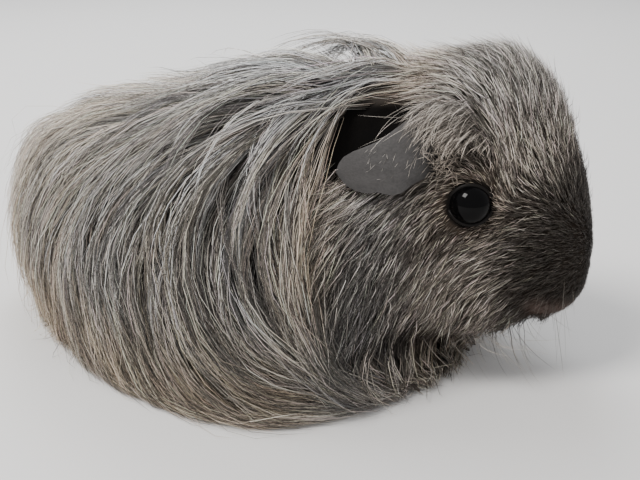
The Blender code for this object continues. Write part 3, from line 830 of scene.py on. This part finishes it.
def surface_under(tree, points):
    """The place of a surface nearest each point and its outward direction, sideways near the floor."""
    near, outward = np.empty_like(points), np.empty_like(points)
    on_body = in_head(points)[:, 0] < -0.030
    for index, point in enumerate(points.tolist()):
        place, normal, _, _ = tree.find_nearest(point)
        if normal.z < -0.30 and on_body[index]:
            level = max(point[2], 0.0015)
            axis_x = min(max(point[0], SPINE[0]), SPINE[1])
            sideways = Vector((point[0] - axis_x, point[1], 0.0)).normalized()
            hit = tree.ray_cast(Vector((axis_x, 0.0, level)), sideways)
            if hit[0] is not None:
                place, normal = hit[0], sideways
        near[index], outward[index] = place, normal
    return near, outward


BLADE_MARGIN = 0.0004
HOLLOW_RIM = 0.84
EYE_CLEARANCE = 0.0048


def on_blade(points):
    """Whether each place lies within the outline of its ear's blade, or just past it."""
    along, up, inward = by_ear(points)
    upper, lower = ear_edges(np.clip(along / EAR_LENGTH, 0.0, EAR_TIP))
    level = (along > -BLADE_MARGIN) & (along < EAR_LENGTH * EAR_TIP + BLADE_MARGIN)
    upright = (up < upper + BLADE_MARGIN) & (up > -lower - BLADE_MARGIN)
    return level & upright & (np.abs(inward) < 0.012)


def in_bounds(lines):
    """Which hairs keep close to the coat's outline."""
    low, high = (np.array(corner) for corner in outline_box)
    spare = (high - low) * STRAY_SHARE
    return ((lines > low - spare) & (lines < high + spare)).all(axis=(1, 2))


def clear(lines):
    """Which hairs leave the eyes and ears free: none before an eye, over an ear or in its hollow."""
    _, _, inward = by_ear(lines)
    over_ear = (on_blade(lines) & (inward < 0.0020)).any(axis=1)
    in_hollow = ((hollow(lines) < HOLLOW_RIM) & (inward < 0.012)).any(axis=1)
    over_eye = np.zeros(len(lines), bool)
    for eye in EYES:
        eye_at = in_head(middle_of(eye))
        path = in_head(lines) - eye_at
        aside = np.hypot(path[:, :, 0], path[:, :, 2])
        over_eye |= ((aside < EYE_CLEARANCE) & (path[:, :, 1] * eye_at[1] > 0)).any(axis=1)
    return ~(over_ear | in_hollow | over_eye) & in_bounds(lines)


# ---------------------------------------------------------------- short hair of the head and feet
# Short, straight guard hairs grow from the skin of the face. They lie back from the nose, stand up on
# the forehead, sweep over the root of the ear and bend down over the cheek. Nose, eyes and ears stay
# bare, and tiny hairs cover the feet.

HEAD_HAIRS = 44000
HEAD_STEPS = 2
FOOT_HAIR = 0.0014
HEAD_LENGTHS = ((0.006, 0.012, 0.022, 0.035, 0.055, 0.080), (0.0010, 0.0020, 0.0050, 0.0080, 0.0120, 0.0190))
HEAD_WIDTHS = ((0.008, 0.030), (0.00012, 0.00020))  # like the lengths, by the distance from the nose
skin_tree = BVHTree.FromObject(skin, bpy.context.evaluated_depsgraph_get())


def bare_ear(points):
    """0 in the hollow over the ear, where nothing grows, and 1 elsewhere."""
    return ramp(hollow(points), 1.0, 1.15) * ramp(canal(points), 0.90, 1.15)


def on_feet(points):
    """Whether each place lies on a foot."""
    found = np.zeros(len(points), bool)
    for foot in FEET:
        low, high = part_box(foot)
        found |= ((points > np.array(low) - 0.001) & (points < np.array(high) + 0.001)).all(axis=1)
    return found & (points[:, 2] < 0.009)


def head_weight(points, _):
    """How thickly short hair grows."""
    head = in_head(points)
    from_nose = nose_distance(head)
    thick = (1 - long_share(head)) * (0.15 + ramp(from_nose, 0.0035, 0.0075))
    thick *= 1 + 0.8 * fade(from_nose, 0.010, 0.024)
    thick *= ramp(eye_distance(points), EYE_RADIUS + 0.0001, EYE_RADIUS + 0.0006)
    return (thick + 0.5 * on_feet(points)) * bare_ear(points)


roots, root_out = random_roots(HEAD_HAIRS, head_weight)
head = in_head(roots)
from_nose = nose_distance(head)
length = np.interp(from_nose, *HEAD_LENGTHS)
length *= 0.25 + 0.75 * ramp(eye_distance(roots), 0.0060, 0.0130)
length *= 1 - 0.6 * lip_share(head)
length = np.where(on_feet(roots), FOOT_HAIR, length) * rng.uniform(0.75, 1.2, HEAD_HAIRS)
crest = ramp(head[:, 2], 0.004, 0.022) * ramp(head[:, 0], -0.026, -0.010)
tuft = hill(head[:, 0], -0.004, 0.0065) * ramp(head[:, 2], 0.004, 0.009)
tuft *= ramp(-head[:, 2], -0.032, -0.024)
tuft *= ramp(np.abs(head[:, 1]), 0.012, 0.018)
length *= 1 + 0.55 * tuft
lean = np.radians(17 + 20 * crest + 6 * tuft + rng.normal(0, 6, HEAD_HAIRS))
lean += np.radians(28) * (rng.random(HEAD_HAIRS) < 0.04)
swing = rng.normal(0, np.radians(10), HEAD_HAIRS)
point, outward = roots.copy(), root_out
path = [point - outward * 0.0004]
for step in range(HEAD_STEPS):
    lie = turned(coat_lie(point, outward), outward, swing)
    rise = lean * (1.15 - (0.75 + 0.35 * tuft) * step)
    run = (length / HEAD_STEPS)[:, None]
    point = point + run * (lie * np.cos(rise)[:, None] + outward * np.sin(rise)[:, None])
    path.append(point)
    _, outward = surface_under(skin_tree, point)
lines = np.stack(path, axis=1)
width = np.interp(from_nose, *HEAD_WIDTHS) * rng.uniform(0.8, 1.2, HEAD_HAIRS)
widths = width[:, None] * (1.0, 0.85)
keep = clear(lines) & (lines[:, :, 2].min(axis=1) > 0.0002)
colours = hair_colours(lines, 0.10, 0.50)
facing = np.repeat(root_out[:, None], HEAD_STEPS, axis=1)
hair_pieces("head_hair", keep, lines, facing, widths, colours, roots, root_out)

# ---------------------------------------------------------------- long coat
# The hair that grows from neck and body is long, fine and clumped into locks. It runs back from the
# withers, sweeps down over flank and rump, and bends forward again along the floor. Guide lines lead
# the locks.

GUIDE_STEPS = 14
GUIDE_GRAIN = 0.0040  # size of the cells that hold one lock each
GUIDE_TRIALS = 30000
LONG_POINTS = 7
LONG_HAIRS = 29000
STRAY_HAIRS = 0.12  # the share that wanders far from its lock
CEILING, CEILING_GIVE = outline_box[1][2] - 0.0012, 0.0030  # hairs over the withers flatten out above it
CORE = np.array([0.0, 0.0, 0.035])  # the middle of the body, which the hairs face away from
LOCK_WARMTH = np.array([0.08, 0.0, -0.11])  # of the brownest locks, on red, green and blue


def body_weight(points, outward):
    """How thickly long hair grows."""
    on_body = (points[:, 2] > BELLY_CLEARANCE - 0.001) * ramp(outward[:, 2], -0.97, -0.85)
    behind = 1 + 0.6 * fade(points[:, 0], -0.080, -0.062)
    return long_share(in_head(points)) * on_body * behind * bare_ear(points)


def guide_lines(roots, length, tip_depth, twist):
    """The middle lines of the locks, led over the coat's outline and along the floor."""
    point = roots.copy()
    near, out = surface_under(outline_tree, point)
    start_depth = np.maximum(np.sum((near - point) * out, axis=1), 0.001)
    path = [point]
    for step in range(GUIDE_STEPS):
        along = (step + 1) / GUIDE_STEPS
        out[:, 2] = np.maximum(out[:, 2], -0.15)
        out = unit(out)
        point = point + turned(coat_lie(point, out), out, twist) * (length / GUIDE_STEPS)[:, None]
        near, out = surface_under(outline_tree, point)
        depth = np.sum((near - point) * out, axis=1)
        on_rump = ramp(out[:, 2], 0.45, 0.80) * fade(point[:, 0], -0.044, -0.022)
        raised = tip_depth - 0.0030 * on_rump
        wanted = raised + (start_depth - raised) * (1 - along) ** 2.6
        point = point + out * ((depth - wanted) * 0.85)[:, None]
        point[:, 2] = np.maximum(point[:, 2], 0.0010 + 0.004 * (1 - along))
        path.append(point)
    return np.stack(path, axis=1)


spots, _ = random_roots(GUIDE_TRIALS, body_weight)
_, first = np.unique(np.floor(spots / GUIDE_GRAIN).astype(int), axis=0, return_index=True)
guide_roots = spots[first]
guide_count = len(guide_roots)
guide_x, guide_y, guide_z = guide_roots.T
length = (0.038 + 0.034 * guide_z / outline_box[1][2]) * rng.uniform(0.75, 1.15, guide_count)
length *= 1 - 0.30 * ramp(in_head(guide_roots)[:, 0], -0.040, -0.015)
length += 0.014 * fade(guide_z, 0.016, 0.030)
twist = rng.normal(0, 0.13 + 0.16 * ramp(guide_z, 0.060, 0.078))
hump = ramp(guide_z, 0.060, 0.074) * hill(guide_x, 0.013, 0.016)
hump *= fade(np.abs(guide_y), 0.014, 0.026)
length *= 1 - 0.25 * hump
at_end = fade(guide_x, -0.060, -0.030)
tip_depth = rng.uniform(-0.0014, 0.0022, guide_count) - 0.0026 * hump + 0.0012 * at_end
guides = guide_lines(guide_roots, length, tip_depth, twist)

guide_tree = KDTree(guide_count)
for index, root in enumerate(guide_roots):
    guide_tree.insert(root, index)
guide_tree.balance()
roots, root_out = random_roots(LONG_HAIRS, body_weight)
nearest = np.array([guide_tree.find(root)[1] for root in roots])
offset = roots - guide_roots[nearest]
part = np.linspace(0.0, 1.0, LONG_POINTS)
reach = rng.uniform(0.78, 1.03, LONG_HAIRS)
sample = np.clip(part[None] * reach[:, None], 0, 1) * GUIDE_STEPS
below = np.minimum(sample.astype(int), GUIDE_STEPS - 1)
mix = (sample - below)[:, :, None]
own = guides[nearest]
pick = np.arange(LONG_HAIRS)[:, None]
centre_line = own[pick, below] * (1 - mix) + own[pick, below + 1] * mix
tight = rng.uniform(0.15, 0.75, LONG_HAIRS)[:, None, None]
gather = 1 - (1 - tight) * ramp(part, 0.0, 0.85)[None, :, None]
lines = centre_line + offset[:, None] * gather
wander = rng.normal(0, 1.0, (LONG_HAIRS, 2, 3))
stray = np.where(rng.random(LONG_HAIRS) < STRAY_HAIRS, 3.2, 1.0)[:, None, None]
swell = 0.0007 * part[None, :, None] ** 1.2 * stray
phase = rng.uniform(0, 2 * math.pi, (LONG_HAIRS, 1, 1))
lines = lines + swell * (wander[:, :1] + wander[:, 1:] * np.sin(5.0 * part[None, :, None] + phase))
lines[:, 1:, 2] = np.maximum(lines[:, 1:, 2], 0.0006)
over = np.maximum(lines[:, :, 2] - CEILING, 0.0)
lines[:, :, 2] -= over - CEILING_GIVE * np.tanh(over / CEILING_GIVE)
outward = unit((lines[:, :-1] - CORE) * (0.3, 1.0, 1.0))
width = rng.uniform(0.00014, 0.00024, LONG_HAIRS)
widths = width[:, None] * np.interp(part[:-1], [0.0, 0.3, 0.8, 1.0], [1.0, 1.0, 0.75, 0.4])[None, :]
# Hairs high on the back lighten from nearer their roots, a painted light on the top of the coat.
crown = ramp(roots[:, 2:], 0.055, 0.072)
colours = hair_colours(lines, -0.25 * crown, 0.30 - 0.30 * crown)
# Locks rooted high on the back or at the rump are made lighter, a painted light from above and behind; each
# lock's tone and warmth also differ at random.
painted_light_above_and_behind = np.maximum(ramp(guide_z, 0.048, 0.072), 0.8 * fade(guide_x, -0.078, -0.035))
warmth = 1 + rng.uniform(-0.3, 1.0, guide_count)[:, None] * LOCK_WARMTH
lock_tone_and_painted_light = (rng.uniform(0.50, 1.20, guide_count) + 0.24 * painted_light_above_and_behind)[:, None] * warmth
colours = np.clip(colours * lock_tone_and_painted_light[nearest][:, None, :], 0.002, 0.9)
free = clear(lines)
for side_name, side in SIDES:
    chosen = free & (roots[:, 1] * side > 0)
    hair_pieces(f"long_coat_{side_name}", chosen, lines, outward, widths, colours, roots, root_out)

# ---------------------------------------------------------------- tufts at the ears, whiskers and loose hairs
# White-tipped hairs sweep from the temple over the front of each ear. Fine hairs grow in its opening
# and across the dark hollow over it, and tiny ones on its blade. Stiff whiskers stand beside the nose,
# and loose hairs hang from throat and jaw.

TUFT_HAIRS, CANAL_HAIRS, HOLLOW_HAIRS, BLADE_HAIRS = 460, 90, 8, 60
WHISKERS, THROAT_HAIRS, JAW_HAIRS = 14, 70, 8
TUFT_WIDTH, CANAL_WIDTH, HOLLOW_WIDTH, BLADE_WIDTH = 0.00013, 0.00012, 0.00008, 0.00007
WHISKER_WIDTH, THROAT_WIDTH, JAW_WIDTH = 0.00013, 0.00013, 0.00014
ROOT_DEPTH = 0.0003  # below the face of the skin


def swept(along, up, length, heading, bend, out_from, out_to, points, side):
    """Hairs beside an ear that start at one heading and bend by another angle on their way."""
    part = np.linspace(0.0, 1.0, points)[None]
    turn = heading[:, None] + bend[:, None] * part
    step = length[:, None] / (points - 1)
    run = along[:, None] + (np.cumsum(np.cos(turn) * step, axis=1) - np.cos(turn[:, :1]) * step)
    rise = up[:, None] - (np.cumsum(np.sin(turn) * step, axis=1) - np.sin(turn[:, :1]) * step)
    out = out_from[:, None] + (out_to - out_from)[:, None] * ramp(part, 0.0, 0.6)
    head = EAR_ROOT + run[..., None] * EAR_BACK + rise[..., None] * EAR_UP - out[..., None] * EAR_IN
    return from_head(head * (1.0, side, 1.0))


def loose_piece(name, paths, width, pale, outward=None):
    """A piece of loose hairs of one width and share of pale hairs, rooted in the skin unless told."""
    if outward is None:
        hits = [skin_tree.find_nearest(point)[:2] for point in paths[:, 0].tolist()]
        paths[:, 0] = [tuple(place - normal * ROOT_DEPTH) for place, normal in hits]
        outward = np.array([tuple(normal) for _, normal in hits])
    kept = in_bounds(paths)
    paths, outward = paths[kept], outward[kept]
    count, points, _ = paths.shape
    dark, light, _ = coat_tones(paths[:, 0])
    amount = np.where(rng.random(count) < pale, rng.uniform(0.6, 1.1, count), 0.15)[:, None, None]
    amount = amount * ramp(np.linspace(0, 1, points), 0.05, 0.5)[None, :, None]
    colours = np.clip(dark[:, None] + (light - dark)[:, None] * amount, 0.002, 0.9)
    taper = np.interp(np.linspace(0, 1, points)[:-1], [0.0, 0.7, 1.0], [1.0, 0.8, 0.4])
    widths = width * rng.uniform(0.8, 1.2, count)[:, None] * taper[None]
    facing = np.repeat(outward[:, None], points - 1, axis=1)
    hair_pieces(name, slice(None), paths, facing, widths, colours, paths[:, 0], outward)


def spread(count, low, high):
    """Evenly spread random numbers."""
    return rng.uniform(low, high, count)


def scattered(count, *ranges):
    """Rows of numbers, each number drawn from its own range, or given."""
    columns = [spread(count, *each) if isinstance(each, tuple) else np.full(count, each) for each in ranges]
    return np.stack(columns, axis=1)


def hanging(base, aim, reach, curl, side):
    """Hairs that leave their base in one direction, curl on their way and stay above the floor."""
    part = np.linspace(0.0, 1.0, 8)[None, :, None]
    bent = unit(aim)[:, None] * part + np.atleast_2d(curl)[:, None] * part**2
    paths = from_head((base[:, None] + bent * reach[:, None, None]) * (1.0, side, 1.0))
    paths[:, :, 2] = np.maximum(paths[:, :, 2], 0.001)
    return paths


for side_name, side in SIDES:
    count = TUFT_HAIRS
    up = spread(count, 0.0035, 0.0155)
    start = -0.0010 - 0.0110 * rng.random(count) ** 1.6 + 0.0030 * ramp(up, 0.004, 0.014)
    heading = np.radians(14 - 2200 * np.maximum(up - 0.004, 0) + rng.normal(0, 12, count))
    bend = np.radians(44 + 1500 * np.maximum(up - 0.004, 0) + rng.normal(0, 16, count))
    length = spread(count, 0.0060, 0.0125) * (0.45 + 0.55 * ramp(up, 0.0055, 0.0095))
    length += 0.10 * np.maximum(up - 0.006, 0)
    rise_from, rise_to = spread(count, 0.0, 0.001), spread(count, 0.0012, 0.0045)
    tuft = swept(start, up, length, heading, bend, rise_from, rise_to, 6, side)
    loose_piece(f"ear_tuft_{side_name}", tuft, TUFT_WIDTH, 0.50)
    count = CANAL_HAIRS
    tuft = swept(
        spread(count, -0.0035, 0.0035), spread(count, -0.0025, 0.0035), spread(count, 0.0025, 0.0055),
        np.radians(rng.normal(30, 55, count)), np.radians(rng.normal(0, 30, count)),
        spread(count, 0.0, 0.001), spread(count, 0.001, 0.0025), 4, side,
    )
    loose_piece(f"ear_canal_{side_name}", tuft, CANAL_WIDTH, 0.9)
    count = HOLLOW_HAIRS
    crossing = swept(
        spread(count, 0.0055, 0.0105), np.linspace(0.0080, 0.0165, count), spread(count, 0.0090, 0.0140),
        np.radians(rng.normal(4, 12, count)), np.radians(rng.normal(22, 26, count)),
        spread(count, -0.002, 0.001), spread(count, 0.001, 0.003), 7, side,
    )
    loose_piece(f"ear_hollow_hairs_{side_name}", crossing, HOLLOW_WIDTH, 1.0)

    # the tiny hairs on the blade lie along it and rise a little from it
    count = BLADE_HAIRS
    part = np.linspace(0.0, 1.0, 4)[None]
    drop = np.radians(rng.normal(45, 22, count))[:, None]
    run = spread(count, 0.0010, 0.0028)[:, None] * part
    along = 0.10 + 0.62 * rng.random((count, 1)) ** 1.4 + np.cos(drop) * run / EAR_LENGTH
    across = spread(count, 0.25, 0.95)[:, None] - np.sin(drop) * run / 0.013
    down = ear_surface(along, across) - (0.0004 + 0.0003 * part)[..., None] * EAR_IN
    facing_out = from_head(-EAR_IN * (1.0, side, 1.0)) - from_head(np.zeros(3))
    down = from_head(down * (1.0, side, 1.0))
    loose_piece(f"ear_down_{side_name}", down, BLADE_WIDTH, 0.9, np.tile(facing_out, (count, 1)))

    rise = spread(WHISKERS, -0.0040, 0.0050)
    whiskers = hanging(
        NOSE_TIP + scattered(WHISKERS, (-0.012, -0.005), (0.004, 0.009), rise - 0.003),
        scattered(WHISKERS, (-0.30, 0.25), (0.75, 1.0), (-0.85, -0.05)),
        spread(WHISKERS, 0.014, 0.026), (0.0, 0.10, -0.15), side,
    )
    loose_piece(f"whiskers_{side_name}", whiskers, WHISKER_WIDTH, 0.8)
    throat = hanging(
        scattered(THROAT_HAIRS, (-0.020, 0.018), (0.004, 0.022), -0.036),
        scattered(THROAT_HAIRS, (-0.25, 0.55), (-0.1, 0.5), -1.0),
        spread(THROAT_HAIRS, 0.010, 0.020), (0.35, 0.0, 0.15), side,
    )
    loose_piece(f"throat_hairs_{side_name}", throat, THROAT_WIDTH, 0.7)
    jaw = hanging(
        scattered(JAW_HAIRS, (-0.004, 0.012), (0.010, 0.024), -0.034),
        scattered(JAW_HAIRS, (-0.15, 0.35), (-0.1, 0.4), -0.8),
        spread(JAW_HAIRS, 0.013, 0.023), scattered(JAW_HAIRS, (0.5, 1.0), (-0.1, 0.2), (0.35, 0.75)), side,
    )
    loose_piece(f"jaw_hairs_{side_name}", jaw, JAW_WIDTH, 1.0)

# ---------------------------------------------------------------- studio
# The model stands on a plain pale floor, in soft light from above, in front and behind. None of this
# belongs to the animal, and the outline that led its hair is taken away.

bpy.data.objects.remove(outline)
bpy.ops.object.select_all(action="DESELECT")
bpy.ops.mesh.primitive_plane_add(size=6.0, location=(0.0, 0.0, 0.0))
floor = named("floor")
floor.data.materials.append(plain_material("floor", (0.62, 0.61, 0.60), 0.85))

world = bpy.data.worlds.new("studio")
world.use_nodes = True
backdrop = world.node_tree.nodes["Background"].inputs
backdrop["Color"].default_value = (0.84, 0.84, 0.86, 1.0)
backdrop["Strength"].default_value = 0.75
bpy.context.scene.world = world


def soft_light(name, place, target, size, power, colour, mirrored=True):
    """A square area light that looks at a target, and may be left out of reflections."""
    lamp = bpy.data.lights.new(name, "AREA")
    lamp.size = size
    lamp.energy = power
    lamp.color = colour
    obj = bpy.data.objects.new(name, lamp)
    obj.location = place
    obj.rotation_euler = (Vector(target) - Vector(place)).to_track_quat("-Z", "Y").to_euler()
    obj.visible_glossy = mirrored
    bpy.context.scene.collection.objects.link(obj)


soft_light("key", (-0.20, -0.52, 0.85), (0.0, 0.0, 0.04), 0.34, 12.0, (1.0, 0.98, 0.95))
soft_light("rim", (-0.45, 0.60, 0.75), (0.0, 0.0, 0.05), 0.60, 9.0, (0.95, 0.98, 1.0))
soft_light("side", (-0.85, -0.35, 0.45), (-0.02, 0.0, 0.04), 0.50, 7.0, (1.0, 1.0, 1.0), False)
soft_light("front", (0.75, -0.20, 0.45), (0.05, 0.0, 0.04), 0.40, 2.0, (1.0, 1.0, 1.0), False)

# The camera stands to the animal's right and a little ahead and above, close enough to see depth.
CAMERA_PLACE = Vector((0.1686, -0.2429, 0.134))
CAMERA_AZIMUTH = math.radians(32)
CAMERA_ELEVATION = math.radians(20)
CAMERA_LENS = 58.5
camera_data = bpy.data.cameras.new("camera")
camera_data.lens = CAMERA_LENS
camera = bpy.data.objects.new("camera", camera_data)
camera.location = CAMERA_PLACE
camera.rotation_euler = (math.pi / 2 - CAMERA_ELEVATION, 0.0, CAMERA_AZIMUTH)
bpy.context.scene.collection.objects.link(camera)
bpy.context.scene.camera = camera
